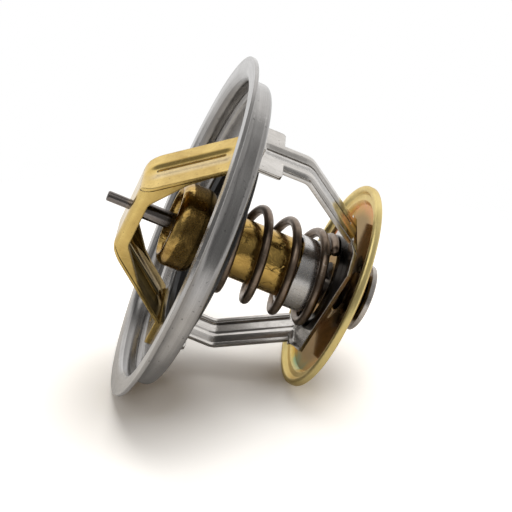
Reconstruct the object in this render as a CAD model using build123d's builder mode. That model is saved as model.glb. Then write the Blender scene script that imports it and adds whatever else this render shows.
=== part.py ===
from build123d import *
import math
import os

os.makedirs("parts", exist_ok=True)

# Driving dimensions, in millimetres. Z runs along the thermostat, up towards the piston tip.
# Z = 0 is the upper clamp face of the flange rim; both bridges lie in the XZ plane.
rim_r = 40.0
rim_t = 0.9
rim_width = 4.4
ledge_top = -5.3
ledge_t = 1.0
ledge_fillet = 1.4
opening_r = 22.0
travel = 8.0
bypass_lift = 1.5
fit_gap = 0.06

bridge_w = 13.0
bridge_t = 1.0
bridge_top = 11.97
bridge_flat = 8.6
bridge_foot_gap = 3.0
bridge_lip = 3.0
crown_r = 3.0
crease_w = 1.0
crease_depth = 0.45

lower_w = 9.6
lower_t = 0.9
lower_shoulder_w = 17.0
lower_shoulder_end = -13.0
lower_foot = 4.7
lower_lip = 1.6
lower_curl_r = 1.4
lower_bend_z = -19.6
lower_plate_bottom = -36.3

piston_r = 1.95
tip_r = 1.15
tip_top = 17.2
piston_end = -20.0

head_r = 9.7
head_top = 2.3
body_r = 6.9
body_wall = 0.7
body_bottom = -31.6
bush_shoulder = -5.0
bush_bottom = -8.0
washer_r = 4.2
washer_t = 0.8
boot_r = 3.6
boot_collar_t = 2.9
sleeve_r = 8.35
sleeve_top = -26.8
sleeve_bottom = -33.0

valve_overlap = 2.5
valve_t = 0.8
seal_t = 1.8

wire_r = 1.05
spring_mean_r = 10.2
spring_pitch = 6.9
spring_start = 348.0
small_r = 3.8
small_wire = 0.6
small_pitch = 2.6
small_seat_gap = 0.1

stem_r = 2.5
stem_head_r = 7.8
stem_head_t = 1.2
stem_head_bottom = -45.3
collar_r = 5.0

disc_r = 24.2
disc_t = 0.9
bead_top = -36.1
bead_h = 1.7

# Derived sizes.
wall_r = rim_r - rim_width
inner_r = wall_r - rim_t
valve_r = opening_r + valve_overlap
bridge_foot_in = opening_r + 1.4
bridge_foot_out = inner_r - ledge_fillet - bridge_foot_gap
ledge_bottom = ledge_top - ledge_t
seal_bottom = ledge_bottom - seal_t
valve_bottom = seal_bottom - valve_t
retainer_bottom = valve_bottom - 1.0
lower_leg_x = valve_r + 2.0
lower_bend_x = lower_leg_x + 0.3
lower_hole_r = sleeve_r + 0.45
seat_r = spring_mean_r + wire_r + 0.05
lower_plate_top = lower_plate_bottom + lower_t
seat_top = lower_plate_top + 1.0
stem_head_top = stem_head_bottom + stem_head_t
well_bottom = stem_head_top
well_floor = well_bottom + disc_t
well_in = small_r + small_wire + 0.3
body_in = body_r - body_wall


def bent_strip(path, radii, near, far, side, shift=0.0):
    """Section of the layer of a bent sheet between two depths below its outer side."""
    with BuildSketch(Plane.XZ.offset(shift)) as layer:
        with BuildLine():
            FilletPolyline(*path, radius=radii)
            if near > 0:
                offset(amount=near, side=side, closed=False)
            offset(amount=far - near, side=side)
        make_face()
    return layer.sketch


def save(builder, name):
    """Label a finished sub-part and write it out."""
    builder.part.label = name
    export_step(builder.part, "parts/" + name + ".step")


# Flange: pressed steel dish with a flat clamping rim, a rounded wall and a seat ledge.
with BuildPart() as flange:
    with BuildSketch(Plane.XZ):
        with BuildLine():
            Polyline((rim_r, 0), (inner_r + 2.6, 0))
            ThreePointArc((inner_r + 2.6, 0), (inner_r + 0.762, -0.762), (inner_r, -2.6))
            Polyline(
                (inner_r, -2.6),
                (inner_r, -3.75),
                (inner_r + 0.25, -3.9),
                (inner_r, -4.05),
                (inner_r - 1.2, -4.7),
                (inner_r - ledge_fillet, ledge_top),
                (opening_r + 0.5, ledge_top),
                (opening_r, ledge_top - 0.5),
                (opening_r, ledge_bottom),
                (wall_r - ledge_fillet, ledge_bottom),
            )
            ThreePointArc(
                (wall_r - ledge_fillet, ledge_bottom),
                (wall_r - ledge_fillet * 0.293, ledge_bottom + ledge_fillet * 0.293),
                (wall_r, ledge_bottom + ledge_fillet),
            )
            Polyline((wall_r, ledge_bottom + ledge_fillet), (wall_r, -rim_t - 1.7))
            ThreePointArc((wall_r, -rim_t - 1.7), (wall_r + 0.498, -rim_t - 0.498), (wall_r + 1.7, -rim_t))
            Polyline((wall_r + 1.7, -rim_t), (rim_r - 0.15, -rim_t), (rim_r, -rim_t + 0.15), (rim_r, 0))
        make_face()
    revolve(axis=Axis.Z)
save(flange, "flange")

# Upper bridge: brass strap with turned-down edges and a crease along each leg, carrying the piston.
foot_top = ledge_top + bridge_t
leg_run = bridge_foot_in - bridge_flat
leg_drop = bridge_top - foot_top
leg_len = math.hypot(leg_run, leg_drop)
strap = [
    (-bridge_foot_out, foot_top),
    (-bridge_foot_in, foot_top),
    (-bridge_flat, bridge_top),
    (bridge_flat, bridge_top),
    (bridge_foot_in, foot_top),
    (bridge_foot_out, foot_top),
]
lip_mid_x = bridge_flat + leg_run * 0.41
lip_mid_z = bridge_top - leg_drop * 0.53
lip_in_x = bridge_flat - bridge_lip + 0.4
lip = [
    (-bridge_foot_in + 0.6, foot_top),
    (-bridge_flat, bridge_top),
    (bridge_flat, bridge_top),
    (bridge_foot_in - 0.6, foot_top),
    (lip_mid_x, lip_mid_z),
    (lip_in_x, bridge_top - bridge_lip),
    (-lip_in_x, bridge_top - bridge_lip),
    (-lip_mid_x, lip_mid_z),
]
lip_radii = [0, bridge_lip, bridge_lip, 0, 0, 2.0, 2.0, 0]
with BuildPart() as upper_bridge:
    extrude(
        bent_strip(strap, [1.0, 3.0, 3.0, 1.0], 0, bridge_t, Side.RIGHT),
        amount=bridge_w / 2,
        both=True,
    )
    for side in (-1, 1):
        with BuildSketch(Plane.XZ.offset(side * (bridge_w - bridge_t) / 2)):
            with BuildLine():
                FilletPolyline(*lip, radius=lip_radii, close=True)
            make_face()
        extrude(amount=bridge_t / 2, both=True)
    with BuildSketch(Plane.YZ) as crown:
        with Locations((0, (bridge_top + ledge_bottom) / 2)):
            Rectangle(bridge_w, bridge_top - ledge_bottom)
        fillet(crown.vertices().group_by(Axis.Y)[-1], crown_r)
    extrude(amount=rim_r, both=True, mode=Mode.INTERSECT)
    with BuildSketch(Plane.XY.offset(bridge_top)):
        Circle(tip_r + fit_gap)
    extrude(amount=-4.0, mode=Mode.SUBTRACT)
    for side in (-1, 1):
        leg_plane = Plane(
            origin=(side * (bridge_flat + leg_run * 0.5), 0, bridge_top - leg_drop * 0.5),
            x_dir=(side * leg_run / leg_len, 0, -leg_drop / leg_len),
            z_dir=(side * leg_drop / leg_len, 0, leg_run / leg_len),
        )
        with BuildSketch(leg_plane.offset(-bridge_t)):
            SlotOverall(leg_len * 0.74, crease_w + 0.9)
        extrude(amount=-crease_depth)
        with BuildSketch(leg_plane):
            SlotOverall(leg_len * 0.72, crease_w)
        extrude(amount=-crease_depth, mode=Mode.SUBTRACT)
        with BuildSketch(Plane.XY.offset(foot_top)):
            with Locations((side * (bridge_foot_out - 2.2), 0)):
                Circle(0.9)
        extrude(amount=-bridge_t, mode=Mode.SUBTRACT)
save(upper_bridge, "upper_bridge")

# Lower bridge: steel strap under the flange, its legs pressed to a shallow channel with a crease
# along the middle, its bottom wide to carry the spring.
slant = 0.67
plate_x = lower_bend_x - (lower_bend_z - lower_plate_bottom) * slant
foot_under = ledge_bottom - lower_t
under = [
    (-lower_leg_x - lower_foot, foot_under),
    (-lower_leg_x, foot_under),
    (-lower_bend_x, lower_bend_z),
    (-plate_x, lower_plate_bottom),
    (plate_x, lower_plate_bottom),
    (lower_bend_x, lower_bend_z),
    (lower_leg_x, foot_under),
    (lower_leg_x + lower_foot, foot_under),
]
bend_r = 4.4
half = lower_w / 2
flat_half = half - lower_curl_r - 0.3
shoulder = lower_shoulder_w / 2
wide = seat_r
neck_z = lower_plate_top + 0.9
side_mask = [
    (-shoulder, ledge_bottom + 1),
    (-shoulder, lower_shoulder_end),
    (-flat_half, lower_shoulder_end),
    (-flat_half, neck_z),
    (-wide, neck_z),
    (-wide, lower_plate_bottom - 1),
    (wide, lower_plate_bottom - 1),
    (wide, neck_z),
    (flat_half, neck_z),
    (flat_half, lower_shoulder_end),
    (shoulder, lower_shoulder_end),
    (shoulder, ledge_bottom + 1),
]
mask_radii = [0, 0.9, 0.9, 0, 0, 0, 0, 0, 0, 0.9, 0.9, 0]
corner = plate_x - 3.6
end_x = lower_leg_x + lower_foot + 1
plan_mask = [
    (-end_x, -shoulder),
    (-lower_bend_x + 1.5, -shoulder),
    (-lower_bend_x + 1.5, -half),
    (-plate_x - 0.6, -half),
    (-corner, -wide),
    (corner, -wide),
    (plate_x + 0.6, -half),
    (lower_bend_x - 1.5, -half),
    (lower_bend_x - 1.5, -shoulder),
    (end_x, -shoulder),
    (end_x, shoulder),
    (lower_bend_x - 1.5, shoulder),
    (lower_bend_x - 1.5, half),
    (plate_x + 0.6, half),
    (corner, wide),
    (-corner, wide),
    (-plate_x - 0.6, half),
    (-lower_bend_x + 1.5, half),
    (-lower_bend_x + 1.5, shoulder),
    (-end_x, shoulder),
]


def leg_path(side, top_z, low_z):
    """Outer side of one lower leg between two heights."""
    lean = (lower_leg_x - lower_bend_x) / (foot_under - lower_bend_z)
    return [
        (side * (lower_bend_x + (top_z - lower_bend_z) * lean), top_z),
        (side * lower_bend_x, lower_bend_z),
        (side * (plate_x + (low_z - lower_plate_bottom) * slant), low_z),
    ]


with BuildPart() as lower_bridge:
    extrude(
        bent_strip(under, [1.0, bend_r, 2.2, 2.2, bend_r, 1.0], 0, lower_t, Side.LEFT),
        amount=wide,
        both=True,
    )
    with BuildSketch(Plane.YZ):
        with BuildLine():
            FilletPolyline(*side_mask, radius=mask_radii, close=True)
        make_face()
    extrude(amount=end_x + 5, both=True, mode=Mode.INTERSECT)
    with BuildSketch(Plane.XY.offset(lower_plate_bottom - 1)):
        Polygon(*plan_mask, align=None)
    extrude(amount=ledge_bottom - lower_plate_bottom + 2, mode=Mode.INTERSECT)
    with BuildSketch(Plane.XY.offset(lower_plate_bottom - 1)):
        Circle(lower_hole_r)
    extrude(amount=lower_t + 2, mode=Mode.SUBTRACT)
    for side, inward in ((-1, Side.LEFT), (1, Side.RIGHT)):
        for edge in (-1, 1):
            with BuildLine(Plane.XZ) as flank:
                FilletPolyline(*leg_path(side, lower_shoulder_end + 0.4, neck_z - 0.4), radius=bend_r)
            start = Plane(origin=flank.line @ 0, x_dir=(0, edge, 0), z_dir=flank.line % 0)
            turn = -side * edge
            with BuildSketch(start):
                with BuildLine():
                    FilletPolyline((flat_half, 0), (half, 0), (half, turn * lower_lip), radius=lower_curl_r)
                    offset(amount=lower_t, side=Side.LEFT if turn > 0 else Side.RIGHT)
                make_face()
            sweep()
        middle = leg_path(side, foot_under - 1.8, neck_z + 1.0)
        ridge = bent_strip(middle, bend_r, lower_t - 0.1, lower_t + crease_depth, inward)
        extrude(ridge, amount=crease_w / 2 + 0.4, both=True)
        groove = bent_strip(middle, bend_r, 0, crease_depth, inward)
        extrude(groove, amount=crease_w * 0.35, both=True, mode=Mode.SUBTRACT)
save(lower_bridge, "lower_bridge")

# Spring seat: black ring lying on the wide bottom of the lower bridge.
with BuildPart() as spring_seat:
    with BuildSketch(Plane.XY.offset(lower_plate_top)):
        Circle(seat_r)
        Circle(lower_hole_r + 0.2, mode=Mode.SUBTRACT)
    extrude(amount=seat_top - lower_plate_top)
save(spring_seat, "spring_seat")

# Piston: hardened pin, shouldered under the bridge, its thin tip through the bridge hole.
bridge_under = bridge_top - bridge_t
with BuildPart() as piston:
    with BuildSketch(Plane.XZ):
        Polygon(
            (0, piston_end),
            (piston_r - 0.5, piston_end),
            (piston_r, piston_end + 0.8),
            (piston_r, bridge_under - 0.3),
            (piston_r - 0.3, bridge_under),
            (tip_r, bridge_under),
            (tip_r, tip_top - 0.25),
            (tip_r - 0.25, tip_top),
            (0, tip_top),
            align=None,
        )
    revolve(axis=Axis.Z)
save(piston, "piston")

# Element head: thick rounded brass ring with a recessed front.
plate_bore = 7.2
with BuildPart() as element_head:
    with BuildSketch(Plane.XZ):
        with BuildLine():
            Polyline((3.4, -3.2), (5.6, -3.2), (7.0, -1.8), (7.5, 1.4), (7.9, head_top), (8.2, head_top))
            RadiusArc((8.2, head_top), (head_r, head_top - 2.2), 2.3)
            Polyline((head_r, head_top - 2.2), (head_r, -3.4))
            RadiusArc((head_r, -3.4), (8.6, -5.4), 2.6)
            Polyline(
                (8.6, -5.4),
                (8.6, seal_bottom),
                (plate_bore, seal_bottom),
                (plate_bore, retainer_bottom + 0.1),
                (body_in, retainer_bottom + 0.1),
                (body_in, bush_shoulder),
                (3.4, bush_shoulder),
                (3.4, -3.2),
            )
        make_face()
    revolve(axis=Axis.Z)
save(element_head, "element_head")

# Guide bush: holds the piston in the centre of the head.
with BuildPart() as guide_bush:
    with BuildSketch(Plane.XZ):
        Polygon(
            (piston_r + fit_gap, -1.2),
            (2.6, -1.2),
            (3.4, -2.0),
            (3.4, bush_shoulder),
            (body_in, bush_shoulder),
            (body_in, bush_bottom),
            (piston_r + fit_gap, bush_bottom),
            align=None,
        )
    revolve(axis=Axis.Z)
save(guide_bush, "guide_bush")

# Anti-extrusion washer between the bush and the boot.
with BuildPart() as ptfe_washer:
    with BuildSketch(Plane.XY.offset(bush_bottom - washer_t)):
        Circle(washer_r)
        Circle(piston_r + fit_gap, mode=Mode.SUBTRACT)
    extrude(amount=washer_t)
save(ptfe_washer, "ptfe_washer")

# Rubber boot: sleeve round the piston, closed at the bottom, with a sealing collar at the top.
boot_bottom = piston_end - 2.0
collar_low = bush_bottom - boot_collar_t
with BuildPart() as rubber_boot:
    with BuildSketch(Plane.XZ):
        Polygon(
            (0, boot_bottom),
            (3.2, boot_bottom),
            (boot_r, boot_bottom + 1.2),
            (boot_r, collar_low - 1.1),
            (body_in, collar_low),
            (body_in, bush_bottom),
            (washer_r, bush_bottom),
            (washer_r, bush_bottom - washer_t),
            (piston_r + fit_gap, bush_bottom - washer_t),
            (piston_r + fit_gap, piston_end - 0.05),
            (0, piston_end - 0.05),
            align=None,
        )
    revolve(axis=Axis.Z)
save(rubber_boot, "rubber_boot")

# Wax charge filling the body round and below the boot.
with BuildPart() as wax_charge:
    with BuildSketch(Plane.XZ):
        Polygon(
            (0, body_bottom + 1.0),
            (body_in, body_bottom + 1.0),
            (body_in, collar_low),
            (boot_r, collar_low - 1.1),
            (boot_r, boot_bottom + 1.2),
            (3.2, boot_bottom),
            (0, boot_bottom),
            align=None,
        )
    revolve(axis=Axis.Z)
save(wax_charge, "wax_charge")

# Element body: brass cup holding the wax.
with BuildPart() as element_body:
    with BuildSketch(Plane.XZ):
        Polygon(
            (0, body_bottom),
            (body_r - 0.6, body_bottom),
            (body_r, body_bottom + 0.6),
            (body_r, retainer_bottom + 0.1),
            (body_in, retainer_bottom + 0.1),
            (body_in, body_bottom + 1.0),
            (0, body_bottom + 1.0),
            align=None,
        )
    revolve(axis=Axis.Z)
save(element_body, "element_body")

# Main valve: zinc-plated disc staked on the element.
with BuildPart() as main_valve:
    with BuildSketch(Plane.XZ):
        Polygon(
            (plate_bore, valve_bottom),
            (valve_r - 0.25, valve_bottom),
            (valve_r, valve_bottom + 0.25),
            (valve_r, seal_bottom),
            (plate_bore, seal_bottom),
            align=None,
        )
    revolve(axis=Axis.Z)
save(main_valve, "main_valve")

# Valve seal: black rubber ring bonded on the valve disc, closing on the flange ledge.
with BuildPart() as valve_seal:
    with BuildSketch(Plane.XZ):
        Polygon(
            (opening_r - 1.8, seal_bottom),
            (valve_r - 0.2, seal_bottom),
            (valve_r - 0.2, ledge_bottom - 0.35),
            (valve_r - 0.6, ledge_bottom),
            (opening_r - 0.8, ledge_bottom),
            (opening_r - 1.8, ledge_bottom - 0.7),
            align=None,
        )
    revolve(axis=Axis.Z)
save(valve_seal, "valve_seal")

# Spring retainer: stepped collar under the valve disc that centres the spring.
with BuildPart() as spring_retainer:
    with BuildSketch(Plane.XZ):
        Polygon(
            (plate_bore, valve_bottom),
            (seat_r + 0.3, valve_bottom),
            (seat_r + 0.3, retainer_bottom),
            (spring_mean_r - wire_r - 0.25, retainer_bottom),
            (spring_mean_r - wire_r - 0.25, retainer_bottom - 1.2),
            (plate_bore, retainer_bottom - 1.2),
            align=None,
        )
    revolve(axis=Axis.Z)
save(spring_retainer, "spring_retainer")

# Sleeve: thin steel cup round the lower end of the body.
with BuildPart() as sleeve:
    with BuildSketch(Plane.XZ):
        Polygon(
            (stem_r, sleeve_bottom),
            (sleeve_r - 0.8, sleeve_bottom),
            (sleeve_r, sleeve_bottom + 0.8),
            (sleeve_r, sleeve_top),
            (sleeve_r - 0.6, sleeve_top),
            (sleeve_r - 0.6, sleeve_bottom + 1.4),
            (body_r, sleeve_bottom + 1.4),
            (body_r - 0.1, body_bottom),
            (stem_r, body_bottom),
            align=None,
        )
    revolve(axis=Axis.Z)
save(sleeve, "sleeve")

# Bypass stem: rod from the body end to its riveted head.
with BuildPart() as bypass_stem:
    with BuildSketch(Plane.XY.offset(stem_head_top)):
        Circle(stem_r)
    extrude(amount=body_bottom - stem_head_top)
save(bypass_stem, "bypass_stem")

# Stem head: flat round disc that keeps the bypass valve on the stem.
with BuildPart() as stem_head:
    with BuildSketch(Plane.XY.offset(stem_head_bottom)):
        Circle(stem_head_r)
    extrude(amount=stem_head_t)
    chamfer(stem_head.edges().group_by(Axis.Z)[0], 0.2)
save(stem_head, "stem_head")

# Bypass spring collar: upper seat of the small spring, fixed on the stem.
collar_top = lower_plate_top
with BuildPart() as bypass_collar:
    with BuildSketch(Plane.XY.offset(collar_top - 1.0)):
        Circle(collar_r)
        Circle(stem_r, mode=Mode.SUBTRACT)
    extrude(amount=1.0)
save(bypass_collar, "bypass_collar")

# Bypass valve: yellow-passivated disc with a raised rounded rim, a step inside it and a deep well.
bead_bottom = bead_top - bead_h
well_r = well_in + disc_t
floor_rim = bead_bottom - 0.2
floor_mid = floor_rim - 1.1
with BuildPart() as bypass_valve:
    with BuildSketch(Plane.XZ):
        with BuildLine():
            FilletPolyline(
                (disc_r - 1.3, bead_top),
                (disc_r, bead_top),
                (disc_r, bead_bottom),
                (disc_r - 2.9, bead_bottom),
                (disc_r - 3.6, floor_rim - disc_t),
                (well_r + 2.4, floor_mid - disc_t),
                (well_r, floor_mid - disc_t - 0.8),
                (well_r, well_bottom),
                (stem_r + fit_gap, well_bottom),
                (stem_r + fit_gap, well_floor),
                (well_in, well_floor),
                (well_in, floor_mid - 0.8),
                (well_in + 2.6, floor_mid),
                (disc_r - 4.0, floor_rim),
                (disc_r - 3.2, bead_top - 1.1),
                (disc_r - 1.9, bead_top - 1.0),
                radius=[0.6, 0.6, 0.4, 0, 0, 0.6, 0.6, 0.4, 0, 0, 0, 0.6, 0.6, 0, 0.3, 0.3],
                close=True,
            )
        make_face()
    revolve(axis=Axis.Z)
save(bypass_valve, "bypass_valve")


def coil_points(radius, low, high, pitch, flat, start):
    """Points up a right-hand coil whose two ends lie flat: flat is in turns, start in degrees."""
    turns = 2 * flat + (high - low) / pitch
    steps = round(turns * 14)
    ease = 0.08
    pts = []
    for k in range(steps + 1):
        t = turns * k / steps
        rise = 0.0
        for corner, sign in ((flat, 1), (turns - flat, -1)):
            gone = t - corner
            if gone > ease:
                rise += sign * gone
            elif gone > -ease:
                rise += sign * (gone + ease) ** 2 / (4 * ease)
        a = math.radians(start) + 2 * math.pi * t
        pts.append((radius * math.cos(a), radius * math.sin(a), low + pitch * rise))
    return pts


# Main spring: flat ends, between the spring seat and the retainer.
low = seat_top + wire_r
high = retainer_bottom - wire_r
main_pts = coil_points(spring_mean_r, low, high, spring_pitch, 0.67, spring_start)
with BuildPart() as main_spring:
    with BuildLine() as main_wire:
        Spline(*main_pts)
    with BuildSketch(Plane(origin=main_wire.line @ 0, z_dir=main_wire.line % 0)):
        Circle(wire_r)
    sweep()
save(main_spring, "main_spring")

# Bypass spring: small coil between the collar and the floor of the well.
small_low = well_floor + small_wire + small_seat_gap
small_high = collar_top - 1.0 - small_wire
with BuildPart() as bypass_spring:
    with BuildLine() as small_line:
        Spline(*coil_points(small_r, small_low, small_high, small_pitch, 0.4, 0.0))
    with BuildSketch(Plane(origin=small_line.line @ 0, z_dir=small_line.line % 0)):
        Circle(small_wire)
    sweep()
save(bypass_spring, "bypass_spring")
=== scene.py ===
import bpy
import bmesh
import math
from mathutils import Matrix, Vector


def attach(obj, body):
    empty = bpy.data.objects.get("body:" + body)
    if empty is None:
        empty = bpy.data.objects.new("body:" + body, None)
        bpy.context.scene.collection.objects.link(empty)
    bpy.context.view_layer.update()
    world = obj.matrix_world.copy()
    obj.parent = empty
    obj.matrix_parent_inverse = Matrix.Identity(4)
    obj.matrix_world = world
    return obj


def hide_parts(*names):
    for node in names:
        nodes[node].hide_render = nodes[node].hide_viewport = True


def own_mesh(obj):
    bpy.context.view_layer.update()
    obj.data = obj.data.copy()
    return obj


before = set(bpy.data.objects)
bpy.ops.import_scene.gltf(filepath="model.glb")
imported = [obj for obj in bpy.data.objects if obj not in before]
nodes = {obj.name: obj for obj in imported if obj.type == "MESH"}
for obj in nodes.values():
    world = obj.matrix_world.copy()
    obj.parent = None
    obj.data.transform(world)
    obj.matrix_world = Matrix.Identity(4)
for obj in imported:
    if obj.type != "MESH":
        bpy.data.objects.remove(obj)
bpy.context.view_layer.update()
scene = bpy.context.scene
MM = 0.001

# The photograph's camera in the part's frame. It looks from the piston side and is rolled,
# because the part stands upright in its frame and lies on its side in the photograph.
CAMERA_RIGHT = Vector((0.41470696, 0.06435286, -0.90767662))
CAMERA_UP = Vector((0.71052809, 0.60026765, 0.36719012))
CAMERA_BACK = Vector((0.56847865, -0.79720603, 0.20321066))
CAMERA_PLACE = Vector((0.15294372, -0.21473614, 0.03605783))
FOCAL_LENGTH = 84.283
SENSOR_WIDTH = 36.0

# The part lies on its rim and on the bypass disc, so the floor is a tilted plane in its frame.
FLOOR_UP = Vector((0.89440, 0.20650, 0.39680)).normalized()
FLOOR_DROP = -0.03709
FLOOR_RADIUS = 0.6
# Darkest spots of the shadow, in metres from the floor's middle: by the rim and by the disc.
RIM_SHADOW = (-0.008, -0.012, 0.0)
DISC_SHADOW = (0.024, -0.002, 0.0)
# Where the lit floor round the part turns plain white: its centre, the first and last distance.
LIT_CENTRE = (0.0, -0.01, 0.0)
LIT_END = (0.07, 0.14)

WORLD_LIGHT = 0.34
# What shiny surfaces reflect. Each light has a direction (right, away, up), an inner and an
# outer half-angle in degrees, and a value. The rest of the shell has the dim value.
SHELL_RADIUS = 0.9
SHELL_DIM = 0.2
SHELL_LIGHTS = (
    ((0.0, 0.97, 0.22), 46, 56, 1.15),
    ((-0.05, -0.30, 0.95), 22, 34, 1.5),
    ((0.80, 0.35, 0.45), 20, 42, 0.72),
    ((0.90, -0.40, 0.30), 14, 36, 0.6),
    ((0.97, 0.25, 0.12), 10, 24, 0.85),
    ((-1.0, 0.1, 0.3), 14, 30, 0.5),
)
# Softboxes: name, place over the floor, side in metres, power in watts, colour.
SOFTBOXES = (
    ("key", (0.10, 0.16, 0.60), 0.6, 3.3, (1.0, 0.99, 0.97)),
    ("fill", (-0.30, -0.45, 0.38), 0.45, 0.7, (1.0, 1.0, 1.0)),
)
SOFTBOX_AIM = Vector((0, 0, -0.015))

# Stretches of height or radius on the part, in metres, over which a material changes.
# The flange's painted shade: under the rim's corner and round the wall's foot.
WALL_CORNER = (-0.0032, -0.0012)
RIM_UNDERSIDE = (-0.00100, -0.00093)
WALL_FOOT = (-0.0064, -0.0044)
DISC_RIM_START = (0.0203, 0.0212)
# Radii where the bypass disc's painted dark reflection fades out, and where its painted underside
# shade ends.
DISC_SHADE_END = (0.0166, 0.0200)
DISC_WELL_END = (0.009, 0.012)
DISC_FLOOR_R = 0.0205
RUBBER_START_R = (0.0241, 0.0243)
RUBBER_START_Z = (-0.00865, -0.00855)
# The same in a leg's sheet, counted from its outer side: where its inside turns into its outside.
SHEET_OUTSIDE = (-0.0008, -0.0006)
# The upper bridge's leg: its top corner, its run and drop, and the creased half of its length.
LEG_TOP_X, LEG_TOP_Z = 0.016, 0.003835
LEG_RUN, LEG_DROP = 0.0148, 0.01627
CREASED_HALF = 0.34
# The lower bridge's leg: its outer side, the bend below which it leans in, and the crease's top.
STRAP_SIDE_X = 0.0268
STRAP_BEND_Z = -0.0196
STRAP_LEAN = 0.67
STRAP_CREASE_TOP = -0.0098

# Depth of fine grain, in metres, and how much stronger the fine bump is than a material's value.
GRAIN_DEPTH = 0.00004
BUMP_GAIN = 4

# Coils: half the bend between flat and rising wire, in turns, and the cut ends' share of the
# wire's radius.
COIL_EASE = 0.08
WIRE_END = 0.86


def basis(x_axis, y_axis, z_axis):
    """The rotation that has these directions as its axes."""
    return Matrix((x_axis, y_axis, z_axis)).transposed().to_4x4()


def add_object(name, data, matrix=None):
    ob = bpy.data.objects.new(name, data)
    scene.collection.objects.link(ob)
    if matrix is not None:
        ob.matrix_world = matrix
    return ob


side_dir = (CAMERA_RIGHT - FLOOR_UP * CAMERA_RIGHT.dot(FLOOR_UP)).normalized()
depth_dir = FLOOR_UP.cross(side_dir).normalized()
foot = FLOOR_UP * FLOOR_DROP
floor_frame = Matrix.Translation(foot) @ basis(side_dir, depth_dir, FLOOR_UP)


def place(x, y, z):
    """A point given along the floor (right, away from the camera) and above it, in metres."""
    return foot + side_dir * x + depth_dir * y + FLOOR_UP * z


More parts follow.
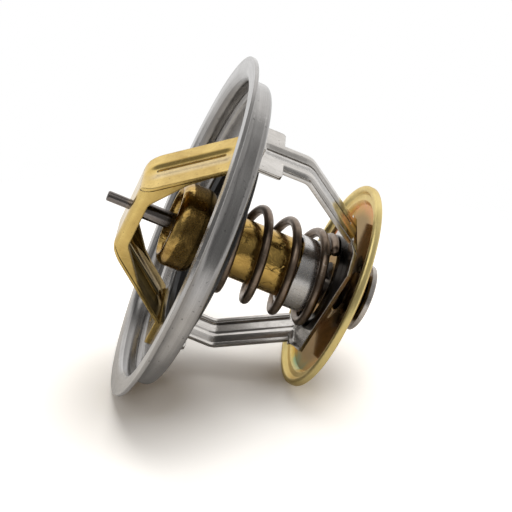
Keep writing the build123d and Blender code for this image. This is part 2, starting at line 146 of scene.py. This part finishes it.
class Nodes:
    """A small helper round the node tree of one material, or of the world."""

    def __init__(self, name, world=False):
        self.block = (bpy.data.worlds if world else bpy.data.materials).new(name)
        self.block.use_nodes = True
        self.tree = self.block.node_tree
        self.tree.nodes.clear()
        kind = "ShaderNodeOutputWorld" if world else "ShaderNodeOutputMaterial"
        self.surface = self.tree.nodes.new(kind).inputs[0]

    def feed(self, socket, value):
        """Give a socket a number, a vector, a colour or another node's output."""
        if isinstance(value, (int, float)):
            socket.default_value = value
        elif isinstance(value, tuple):
            missing = len(socket.default_value) - len(value)
            socket.default_value = (*value, *[1.0] * missing)
        else:
            self.tree.links.new(value, socket)

    def node(self, kind, inputs, output=0, **settings):
        """Add a node, feed its inputs and return one of its outputs."""
        n = self.tree.nodes.new(kind)
        for key, value in settings.items():
            setattr(n, key, value)
        for key, value in inputs.items():
            self.feed(n.inputs[key], value)
        return n.outputs[output]

    def math(self, op, a, b=None, clamp=False):
        inputs = {0: a} if b is None else {0: a, 1: b}
        return self.node("ShaderNodeMath", inputs, operation=op, use_clamp=clamp)

    def plus(self, a, b):
        return self.math("ADD", a, b)

    def minus(self, a, b):
        return self.math("SUBTRACT", a, b)

    def times(self, a, b):
        return self.math("MULTIPLY", a, b)

    def weighted(self, *parts):
        """Sum of each value times its weight."""
        terms = [self.times(value, weight) for value, weight in parts]
        total = terms[0]
        for term in terms[1:]:
            total = self.plus(total, term)
        return total

    def length(self, a, b):
        """Length of the vector with these two parts."""
        return self.math("SQRT", self.plus(self.times(a, a), self.times(b, b)))

    def mapr(self, value, a, b, lo=0.0, hi=1.0, kind="LINEAR"):
        """Change from lo to hi while the value goes from a to b."""
        inputs = {"Value": value, "From Min": a, "From Max": b, "To Min": lo, "To Max": hi}
        return self.node("ShaderNodeMapRange", inputs, "Result", interpolation_type=kind)

    def noise(self, vector, scale, detail=3.0, rough=0.5, bend=0.0, output="Fac"):
        inputs = {
            "Vector": vector, "Scale": scale, "Detail": detail, "Roughness": rough,
            "Distortion": bend,
        }
        return self.node("ShaderNodeTexNoise", inputs, output)

    def mix(self, fac, a, b):
        """Mix two colours: a where the factor is 0 and b where it is 1."""
        inputs = {0: fac, 6: a, 7: b}
        return self.node("ShaderNodeMix", inputs, 2, data_type="RGBA", blend_type="MIX")

    def ramp(self, fac, stops):
        out = self.node("ShaderNodeValToRGB", {0: fac}, "Color")
        elements = out.node.color_ramp.elements
        for element, (position, colour) in zip(elements, (stops[0], stops[-1])):
            element.position, element.color = position, (*colour, 1.0)
        for position, colour in stops[1:-1]:
            elements.new(position).color = (*colour, 1.0)
        return out

    def bump(self, height, strength, depth, normal=None):
        inputs = {"Height": height, "Strength": strength, "Distance": depth}
        if normal is not None:
            inputs["Normal"] = normal
        return self.node("ShaderNodeBump", inputs)

    def worn_edge(self, radius):
        """Normal that rounds sharp edges by a small radius, in metres."""
        return self.node("ShaderNodeBevel", {"Radius": radius}, samples=4)

    def point(self):
        return self.node("ShaderNodeTexCoord", {}, "Object")

    def scaled(self, vector, sx, sy, sz):
        inputs = {"Vector": vector, "Scale": (sx, sy, sz)}
        return self.node("ShaderNodeMapping", inputs, vector_type="POINT")

    def split(self, vector):
        return self.node("ShaderNodeSeparateXYZ", {0: vector}).node.outputs

    def round_coords(self):
        """Cylinder coordinates about Z: the vector (radius, z, angle in turns), radius and z."""
        x, y, z = self.split(self.point())
        rad = self.length(x, y)
        turn = self.math("DIVIDE", self.math("ARCTAN2", y, x), 2 * math.pi)
        return self.node("ShaderNodeCombineXYZ", {0: rad, 1: z, 2: turn}), rad, z

    def leg_coords(self):
        """Distance from the YZ plane, y and z: both legs of a bridge lie alike in these."""
        x, y, z = self.split(self.point())
        return self.math("ABSOLUTE", x), y, z

    def light(self, strength=1.0, colour=(1.0, 1.0, 1.0), kind="ShaderNodeEmission"):
        return self.node(kind, {"Color": colour, "Strength": strength})

    def added(self, first, second):
        return self.node("ShaderNodeAddShader", {0: first, 1: second})

    def blend(self, share, first, second):
        return self.node("ShaderNodeMixShader", {0: share, 1: first, 2: second})

    def ray(self, *kinds):
        """1 for a ray of any of these kinds."""
        path = self.tree.nodes.new("ShaderNodeLightPath").outputs
        found = path[kinds[0]]
        for kind in kinds[1:]:
            found = self.math("MAXIMUM", found, path[kind])
        return found

    def finish(self, shader):
        self.tree.links.new(shader, self.surface)
        return self.block

    def principled(self, colour, rough, normal, metallic=1.0, **constants):
        """The finished material. The metallic socket's own value stays 1 under a link."""
        inputs = {"Metallic": 1.0, "Base Color": colour, "Roughness": rough, "Normal": normal}
        out = self.node("ShaderNodeBsdfPrincipled", {**inputs, **constants})
        self.feed(out.node.inputs["Metallic"], metallic)
        return self.finish(out)


def tinted(colour, k):
    return tuple(min(1.0, c * k) for c in colour)


def scratches(m, vector, scale, thin, turns):
    """Sparse thin lines: a bent wave texture, kept only where a noise is high."""
    inputs = {
        "Vector": vector, "Scale": scale, "Distortion": 6.0, "Detail": 2.0, "Detail Scale": turns,
    }
    wave = m.node("ShaderNodeTexWave", inputs, "Fac", wave_type="BANDS", bands_direction="X")
    line = m.mapr(wave, 1.0 - thin, 1.0)
    mask = m.mapr(m.noise(vector, scale * 0.7, 2.0), 0.54, 0.66)
    return m.math("MULTIPLY", line, mask, clamp=True)


def cracks(m, vector, scale, thin, low):
    """Short bent creases: edges of distorted cells, kept only where a noise is high."""
    shift = 0.6 / scale
    bend = m.noise(vector, scale * 1.5, 3.0, output="Color")
    inputs = {0: bend, 1: (shift, shift, shift), 2: vector}
    shifted = m.node("ShaderNodeVectorMath", inputs, operation="MULTIPLY_ADD")
    inputs = {"Vector": shifted, "Scale": scale}
    gap = m.node("ShaderNodeTexVoronoi", inputs, "Distance", feature="DISTANCE_TO_EDGE")
    line = m.mapr(gap, thin * 0.4, thin, 1.0, 0.0)
    mask = m.mapr(m.noise(vector, scale * 0.8, 2.0), low, low + 0.05)
    return m.math("MULTIPLY", line, mask, clamp=True)


def flange_painted_shade(m, z):
    """Painted shade on the flange's wall: darker in the corner under the rim and round its foot."""
    corner = m.mapr(z, *WALL_CORNER, 0.0, 0.65)
    below_rim = m.mapr(z, *RIM_UNDERSIDE, 1.0, 0.0)
    at_foot = m.mapr(z, *WALL_FOOT, 0.5, 0.0)
    return m.math("MAXIMUM", m.times(corner, below_rim), at_foot)


def spun_metal(
    name, light, dark, rough, grain=0.12, blot=0.5, bump=0.04, edge=0.0002, painted_shade=None
):
    """Turned or pressed round metal: soft rings, cloudy stains, dark specks, a few scratches, and
    painted shade where a mask for it is given.
    """
    m = Nodes(name)
    p = m.point()
    cylinder, _, z = m.round_coords()
    rings = m.noise(m.scaled(cylinder, 1500, 1500, 3), 1.0, 2.0, 0.6)
    cloud = m.noise(p, 80, 5.0, 0.62, 0.4)
    speck = m.noise(p, 1000, 2.0, 0.6)
    grit = m.noise(p, 3400, 2.0, 0.6)
    fine = scratches(m, p, 260, 0.012, 1.5)
    base = m.mix(m.mapr(cloud, 0.32, 0.72, 0.0, blot), light, dark)
    base = m.mix(m.mapr(speck, 0.68, 0.715, 0.0, 0.65), base, tinted(dark, 0.3))
    base = m.mix(m.mapr(rings, 0.50, 0.72, 0.0, grain), base, tinted(light, 1.2))
    base = m.mix(m.mapr(rings, 0.30, 0.50, grain, 0.0), base, dark)
    base = m.mix(m.mapr(fine, 0.0, 1.0, 0.0, 0.2), base, tinted(light, 1.3))
    # Painted shade: the mask darkens the metal where shade falls.
    if painted_shade:
        base = m.mix(painted_shade(m, z), base, tinted(dark, 0.5))
    uneven = m.weighted((cloud, 0.6), (grit, 0.4))
    roughness = m.mapr(uneven, 0.3, 0.7, rough * 0.8, rough * 1.25)
    height = m.weighted((rings, 0.35), (grit, 0.35), (fine, -0.4))
    normal = m.bump(height, bump * BUMP_GAIN, GRAIN_DEPTH, m.worn_edge(edge))
    return m.principled(base, roughness, normal)


def drawn_metal(
    name, light, dark, rough, along, blot=0.6, bump=0.04, wear_and_sheen=(0.9, 0.85, 0.75), edge=0.0003,
    dent=None, depth=0.0004, crease=None,
):
    """Rolled or drawn metal: streaks along one axis, stains and scratches, dents and a crease, with
    a painted highlight beside the crease and a painted shade line along it.
    """
    m = Nodes(name)
    p = m.point()
    stretch = [700, 700, 700]
    stretch[along] = 30
    streak = m.noise(m.scaled(p, *stretch), 1.0, 4.0, 0.6)
    cloud = m.noise(p, 130, 5.0, 0.65, 0.5)
    pits = m.noise(p, 1500, 2.0, 0.6)
    fine = scratches(m, m.scaled(p, 1.0, 1.3, 0.8), 320, 0.014, 1.2)
    base = m.mix(m.mapr(cloud, 0.34, 0.7, 0.0, blot), light, dark)
    base = m.mix(m.mapr(streak, 0.46, 0.72, 0.0, 0.3), base, dark)
    base = m.mix(m.mapr(pits, 0.68, 0.74, 0.0, 0.55), base, tinted(dark, 0.35))
    base = m.mix(m.times(fine, 0.4), base, wear_and_sheen)
    if crease:
        # Painted highlight in a band beside the crease, and a painted shade line along its middle.
        gap, _ = crease(m)
        base = m.mix(m.mapr(gap, 0.00035, 0.00070, 0.5, 0.0), base, wear_and_sheen)
        base = m.mix(m.mapr(gap, 0.00012, 0.00022, 1.0, 0.0), base, tinted(dark, 0.06))
    uneven = m.weighted((cloud, 0.5), (streak, 0.5))
    roughness = m.mapr(uneven, 0.3, 0.7, rough * 0.75, rough * 1.3)
    height = m.weighted((streak, 0.3), (pits, 0.25), (fine, -0.8))
    normal = m.worn_edge(edge)
    if dent:
        normal = m.bump(dent(m), 1.0, depth, normal)
    normal = m.bump(height, bump * BUMP_GAIN, GRAIN_DEPTH, normal)
    return m.principled(base, roughness, normal)


def cast_brass(name, light, dark, rough, scale, depth, contrast, stretch=1.0, crimp=0.0):
    """Hot-pressed brass: mottled stains, shallow dents, grainy patches and crimp creases."""
    m = Nodes(name)
    p = m.scaled(m.point(), 1.0, 1.0, stretch)
    cloud = m.noise(p, scale, 6.0, 0.68, 0.8)
    dents = m.noise(p, scale * 2.6, 3.0, 0.55, 0.6)
    grit = m.noise(p, scale * 14, 3.0, 0.65)
    base = m.mix(m.mapr(cloud, 0.5 - contrast, 0.5 + contrast), dark, light)
    base = m.mix(m.mapr(grit, 0.6, 0.75, 0.0, 0.4), base, tinted(dark, 0.6))
    normal = m.bump(dents, 0.8, depth, m.worn_edge(0.0003))
    if crimp:
        crack = cracks(m, p, 300, 0.05, 0.53)
        base = m.mix(m.times(crack, crimp), base, tinted(dark, 0.25))
        normal = m.bump(m.minus(1.0, crack), crimp, 0.00015, normal)
    uneven = m.weighted((cloud, 0.5), (grit, 0.5))
    roughness = m.mapr(uneven, 0.35, 0.65, rough * 1.35, rough * 0.8)
    return m.principled(base, roughness, m.bump(grit, 0.16, 0.00005, normal))


def yellow_zinc(name):
    """Yellow-passivated zinc: brushed olive rim, polished floor with green and pink stains, a
    painted dark reflection over the floor's middle, and painted shade on the faces turned down near
    the middle.
    """
    m = Nodes(name)
    p = m.point()
    cylinder, rad, _ = m.round_coords()
    rings = m.noise(m.scaled(cylinder, 1800, 1800, 4), 1.0, 2.0, 0.6)
    cloud = m.noise(p, 62, 4.0, 0.55, 0.7)
    speck = m.noise(p, 1500, 3.0, 0.7)
    rim = m.mapr(rad, *DISC_RIM_START)
    floor_tint = m.ramp(
        m.mapr(cloud, 0.30, 0.72),
        [
            (0.0, (0.17, 0.27, 0.15)),
            (0.2, (0.40, 0.28, 0.06)),
            (0.45, (0.48, 0.28, 0.05)),
            (0.64, (0.60, 0.27, 0.08)),
            (0.82, (0.56, 0.27, 0.16)),
            (1.0, (0.36, 0.26, 0.20)),
        ],
    )
    # Painted dark reflection of the bridge's plate over the middle of the floor.
    shade = m.mapr(rad, *DISC_SHADE_END, 0.9, 0.0, "SMOOTHSTEP")
    floor_tint = m.mix(shade, floor_tint, (0.17, 0.10, 0.018))
    rim_tint = m.mix(m.mapr(cloud, 0.35, 0.7), (0.66, 0.52, 0.20), (0.88, 0.73, 0.34))
    base = m.mix(rim, floor_tint, rim_tint)
    base = m.mix(m.mapr(speck, 0.62, 0.75, 0.0, 0.35), base, (0.14, 0.11, 0.05))
    # Painted shade on the faces turned down near the middle: the disc's underside and its well.
    facing = m.split(m.node("ShaderNodeNewGeometry", {}, "True Normal"))["Z"]
    painted_underside_shade = m.times(
        m.mapr(facing, -0.4, 0.1, 1.0, 0.0), m.mapr(rad, *DISC_WELL_END, 1.0, 0.0)
    )
    base = m.mix(painted_underside_shade, base, (0.035, 0.03, 0.025))
    grain = m.mapr(speck, 0.3, 0.7, -0.04, 0.06)
    roughness = m.plus(m.mapr(rad, *DISC_RIM_START, 0.12, 0.34), grain)
    share = m.math("DIVIDE", rad, DISC_FLOOR_R)
    dome = m.minus(1.0, m.math("MINIMUM", m.times(share, share), 1.0))
    normal = m.bump(dome, 1.0, 0.0008, m.worn_edge(0.0002))
    normal = m.bump(m.weighted((rings, 0.4), (speck, 0.2)), 0.16, GRAIN_DEPTH, normal)
    return m.principled(base, roughness, normal, **{"Specular Tint": (0.94, 0.85, 0.74)})


def edged_disc(name, light, dark):
    """The valve disc: zinc faces, its edge covered by the rubber but for a thin bright line."""
    m = Nodes(name)
    p = m.point()
    _, rad, z = m.round_coords()
    speck = m.noise(p, 1400, 3.0, 0.7)
    cloud = m.noise(p, 95, 5.0, 0.62, 0.4)
    base = m.mix(m.mapr(cloud, 0.3, 0.7, 0.0, 0.7), light, dark)
    base = m.mix(m.mapr(speck, 0.5, 0.66, 0.0, 0.8), base, tinted(dark, 0.25))
    skin = m.times(m.mapr(rad, *RUBBER_START_R), m.mapr(z, *RUBBER_START_Z))
    base = m.mix(skin, base, (0.012, 0.012, 0.012))
    roughness = m.mapr(speck, 0.3, 0.7, 0.3, 0.45)
    return m.principled(base, roughness, m.bump(speck, 0.2, GRAIN_DEPTH), m.minus(1.0, skin))


def plain_soft(name, light, dark, rough):
    """Rubber, plastic or wax: fine grain and slight cloudiness."""
    m = Nodes(name)
    p = m.point()
    grain = m.noise(p, 900, 3.0, 0.6)
    cloud = m.noise(p, 150, 3.0, 0.5)
    base = m.ramp(m.mapr(cloud, 0.3, 0.7), [(0.0, dark), (1.0, light)])
    roughness = m.mapr(grain, 0.3, 0.7, rough * 0.85, rough * 1.1)
    return m.principled(base, roughness, m.bump(grain, 0.3, 0.00006), 0.0)


def leg_crease(m):
    """Distance from the crease of an upper leg, and height above that leg's outer side."""
    x, y, z = m.leg_coords()
    length = math.hypot(LEG_RUN, LEG_DROP)
    run, drop = LEG_RUN / length, LEG_DROP / length
    off_x = m.minus(x, LEG_TOP_X)
    off_z = m.minus(z, LEG_TOP_Z)
    along = m.weighted((off_x, run), (off_z, -drop))
    above = m.weighted((off_x, drop), (off_z, run))
    past = m.minus(m.math("ABSOLUTE", along), length * CREASED_HALF)
    return m.length(m.math("MAXIMUM", past, 0.0), y), above


def leg_dent(m):
    """The upper bridge's sheet dips softly towards each crease, and rises there on its inside."""
    gap, above = leg_crease(m)
    outside = m.mapr(above, *SHEET_OUTSIDE)
    height = m.mapr(gap, 0.0001, 0.0036, kind="SMOOTHSTEP")
    inside = m.times(m.minus(1.0, height), m.minus(1.0, outside))
    return m.plus(m.times(height, outside), inside)


def strap_dent(m):
    """Outside, the lower legs dip towards the middle. Inside, a groove parts a leaning half."""
    x, y, z = m.leg_coords()
    past = m.math("MAXIMUM", m.minus(z, STRAP_CREASE_TOP), 0.0)
    lean = m.math("MINIMUM", m.times(m.minus(z, STRAP_BEND_Z), STRAP_LEAN), 0.0)
    above = m.minus(m.minus(x, STRAP_SIDE_X), lean)
    outside = m.mapr(above, *SHEET_OUTSIDE)
    dip = m.mapr(m.length(past, y), 0.0002, 0.0028, kind="SMOOTHSTEP")
    tilt = m.mapr(y, -0.0042, -0.0004, 0.0, 0.8, "SMOOTHSTEP")
    groove = m.mapr(m.math("ABSOLUTE", y), 0.0, 0.0009, 0.0, 0.2, "SMOOTHSTEP")
    inside = m.times(m.plus(tilt, groove), m.minus(1.0, outside))
    return m.plus(m.times(dip, outside), inside)


spring_wire = drawn_metal(
    "spring_wire", (0.29, 0.22, 0.165), (0.105, 0.076, 0.056), 0.32, along=2, blot=0.8
)
rubber = plain_soft("seal_rubber", (0.022, 0.022, 0.023), (0.012, 0.012, 0.012), 0.5)
head_steel = spun_metal("stem_head_steel", (0.50, 0.46, 0.42), (0.26, 0.235, 0.21), 0.3)
head_brass = cast_brass(
    "head_brass", (0.76, 0.51, 0.16), (0.20, 0.115, 0.03), 0.22,
    scale=170, depth=0.0002, contrast=0.2,
)
dress = {
    "flange": spun_metal(
        "flange_tin", (0.44, 0.425, 0.41), (0.27, 0.258, 0.247), 0.22,
        grain=0.32, blot=0.6, bump=0.09, painted_shade=flange_painted_shade,
    ),
    "main_valve": edged_disc("valve_zinc", (0.16, 0.155, 0.15), (0.05, 0.05, 0.05)),
    "spring_retainer": spun_metal(
        "retainer_zinc", (0.26, 0.25, 0.24), (0.14, 0.13, 0.125), 0.33
    ),
    "sleeve": spun_metal(
        "sleeve_satin", (0.60, 0.58, 0.56), (0.40, 0.385, 0.37), 0.27,
        grain=0.1, blot=0.6, bump=0.06,
    ),
    "stem_head": head_steel,
    "bypass_stem": head_steel,
    "bypass_collar": head_steel,
    "piston": drawn_metal(
        "piston_ground", (0.30, 0.27, 0.25), (0.07, 0.055, 0.05), 0.16, along=2
    ),
    "element_head": head_brass,
    "guide_bush": head_brass,
    "upper_bridge": drawn_metal(
        "bridge_brass", (0.72, 0.52, 0.18), (0.44, 0.29, 0.08), 0.17, along=0,
        blot=0.75, bump=0.05, wear_and_sheen=(0.95, 0.78, 0.42), edge=0.0004,
        dent=leg_dent, depth=0.0006, crease=leg_crease,
    ),
    "lower_bridge": drawn_metal(
        "bridge_steel", (0.66, 0.63, 0.595), (0.32, 0.30, 0.275), 0.2, along=2,
        dent=strap_dent, depth=0.0005,
    ),
    "element_body": cast_brass(
        "body_brass", (0.72, 0.48, 0.14), (0.38, 0.23, 0.06), 0.22,
        scale=120, depth=0.0004, contrast=0.22, stretch=0.6, crimp=0.5,
    ),
    "bypass_valve": yellow_zinc("bypass_zinc"),
    "spring_seat": spun_metal("black_ring", (0.05, 0.045, 0.042), (0.015, 0.014, 0.013), 0.2),
    "valve_seal": rubber,
    "rubber_boot": rubber,
    "ptfe_washer": plain_soft("washer_white", (0.85, 0.85, 0.83), (0.75, 0.75, 0.72), 0.5),
    "wax_charge": plain_soft("wax_charge", (0.62, 0.42, 0.20), (0.45, 0.28, 0.12), 0.6),
}
for node, material in dress.items():
    mesh = nodes[node].data
    mesh.materials.clear()
    mesh.materials.append(material)


def mesh_object(name, bm, material, matrix=None):
    mesh = bpy.data.meshes.new(name)
    bm.to_mesh(mesh)
    bm.free()
    mesh.materials.append(material)
    for poly in mesh.polygons:
        poly.use_smooth = True
    return add_object(name, mesh, matrix)


def coil_line(mean_r, low, high, pitch, flat, start, per_turn):
    """Middle line of a right-hand coil whose first and last stretches lie flat."""
    turns = 2 * flat + (high - low) / pitch
    steps = int(turns * per_turn)
    points = []
    for k in range(steps + 1):
        t = turns * k / steps
        rise = 0.0
        for corner, sign in ((flat, 1), (turns - flat, -1)):
            gone = t - corner
            if gone > COIL_EASE:
                rise += sign * gone
            elif gone > -COIL_EASE:
                rise += sign * (gone + COIL_EASE) ** 2 / (4 * COIL_EASE)
        a = math.radians(start) + 2 * math.pi * t
        points.append(Vector((mean_r * math.cos(a), mean_r * math.sin(a), low + pitch * rise)) * MM)
    return points


def coil(name, mean_r, wire_r, low, high, pitch, flat, start, per_turn, sides):
    """Coil of round wire. Lengths in millimetres, its flat stretches in turns, start in degrees."""
    points = coil_line(mean_r, low, high, pitch, flat, start, per_turn)
    last = len(points) - 1
    bm = bmesh.new()
    rings = []
    for k, c in enumerate(points):
        ahead = (points[min(k + 1, last)] - points[max(k - 1, 0)]).normalized()
        side = ahead.cross(Vector((c.x, c.y, 0)).normalized()).normalized()
        outward = side.cross(ahead).normalized()
        size = wire_r * (WIRE_END if k in (0, last) else 1.0) * MM
        ring = []
        for j in range(sides):
            a = 2 * math.pi * j / sides
            ring.append(bm.verts.new(c + (outward * math.cos(a) + side * math.sin(a)) * size))
        rings.append(ring)
    for a, b in zip(rings, rings[1:]):
        for j in range(sides):
            n = (j + 1) % sides
            bm.faces.new((a[j], a[n], b[n], b[j]))
    bm.faces.new(rings[0][::-1])
    bm.faces.new(rings[-1])
    bmesh.ops.recalc_face_normals(bm, faces=bm.faces)
    return mesh_object(name, bm, spring_wire)


main_coil = coil(
    "main_coil", mean_r=10.2, wire_r=1.05, low=-33.35, high=-10.95, pitch=6.9, flat=0.67,
    start=348.0, per_turn=72, sides=18,
)
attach(main_coil, "frame")
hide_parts("main_spring")
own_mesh(main_coil)

small_coil = coil(
    "small_coil", mean_r=3.8, wire_r=0.6, low=-42.5, high=-37.0, pitch=2.6, flat=0.4,
    start=0.0, per_turn=48, sides=12,
)
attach(small_coil, "element")
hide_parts("bypass_spring")
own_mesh(small_coil)


def white_floor():
    """White sweep. Near the part the camera sees it lit and a little paler than it is, with a
    glow away from the contact shadows, and metal sees it as it is. Further out it is plain
    white to both. From behind it is clear."""
    m = Nodes("floor_white")
    spot = m.point()

    def away_from(centre, near, far):
        inputs = {0: spot, 1: centre}
        gap = m.node("ShaderNodeVectorMath", inputs, "Value", operation="DISTANCE")
        return m.mapr(gap, near, far)

    plain = m.node("ShaderNodeBsdfDiffuse", {"Color": (0.82, 0.795, 0.765)})
    pale = m.node("ShaderNodeBsdfDiffuse", {"Color": (1.0, 0.975, 0.94)})
    clear_of_shadow = m.times(
        away_from(RIM_SHADOW, 0.008, 0.032), away_from(DISC_SHADOW, 0.002, 0.020)
    )
    lit = m.added(pale, m.light(m.times(clear_of_shadow, 0.34)))
    # A faint warm glow: painted light that warms the shadows.
    lit = m.added(lit, m.light(0.03, (1.0, 0.5, 0.0)))
    white = m.light()
    far_away = away_from(LIT_CENTRE, *LIT_END)
    shiny = m.ray("Is Glossy Ray", "Is Transmission Ray")
    for_metal = m.blend(m.times(shiny, far_away), plain, white)
    for_camera = m.blend(far_away, lit, white)
    seen = m.blend(m.ray("Is Camera Ray"), for_metal, for_camera)
    clear = m.node("ShaderNodeBsdfTransparent", {})
    behind = m.node("ShaderNodeNewGeometry", {}, "Backfacing")
    return m.finish(m.blend(behind, seen, clear))


def white_world():
    """Dim light on the part. The camera, metal and glass see white."""
    m = Nodes("studio", world=True)
    dim = m.light(WORLD_LIGHT, (1.0, 0.99, 0.97), "ShaderNodeBackground")
    white = m.light(kind="ShaderNodeBackground")
    direct = m.ray("Is Camera Ray", "Is Glossy Ray", "Is Transmission Ray")
    return m.finish(m.blend(direct, dim, white))


def shell_glow():
    """What shiny surfaces reflect: a dim room, a white sweep behind and soft lights."""
    m = Nodes("studio_shell")
    way = m.node("ShaderNodeVectorMath", {0: m.point()}, operation="NORMALIZE")
    total = None
    for direction, inner, outer, value in SHELL_LIGHTS:
        inputs = {0: way, 1: tuple(Vector(direction).normalized())}
        dot = m.node("ShaderNodeVectorMath", inputs, "Value", operation="DOT_PRODUCT")
        low, high = math.cos(math.radians(outer)), math.cos(math.radians(inner))
        part = m.mapr(dot, low, high, 0.0, value)
        total = part if total is None else m.math("MAXIMUM", total, part)
    return m.finish(m.light(m.math("MAXIMUM", total, SHELL_DIM)))


bm = bmesh.new()
bmesh.ops.create_circle(bm, cap_ends=True, segments=96, radius=FLOOR_RADIUS)
floor = mesh_object("floor", bm, white_floor(), floor_frame)

bm = bmesh.new()
bmesh.ops.create_icosphere(bm, subdivisions=4, radius=SHELL_RADIUS)
shell = mesh_object("studio_shell", bm, shell_glow(), floor_frame)
shell.visible_camera = False
shell.visible_diffuse = False
shell.visible_shadow = False
shell.visible_transmission = False

scene.world = white_world()

for name, where, size, power, colour in SOFTBOXES:
    data = bpy.data.lights.new(name, "AREA")
    data.shape = "RECTANGLE"
    data.size = data.size_y = size
    data.energy = power
    data.color = colour
    spot = place(*where)
    aim = (SOFTBOX_AIM - spot).normalized().to_track_quat("-Z", "Y").to_matrix().to_4x4()
    lamp = add_object(name, data, Matrix.Translation(spot) @ aim)
    lamp.visible_glossy = False

cam_data = bpy.data.cameras.new("camera")
cam_data.lens = FOCAL_LENGTH
cam_data.sensor_width = SENSOR_WIDTH
cam_data.clip_start = 0.01
cam_data.clip_end = 10.0
cam_data.dof.use_dof = False
turn = basis(CAMERA_RIGHT, CAMERA_UP, CAMERA_BACK)
scene.camera = add_object("camera", cam_data, Matrix.Translation(CAMERA_PLACE) @ turn)

scene.view_settings.view_transform = "Standard"
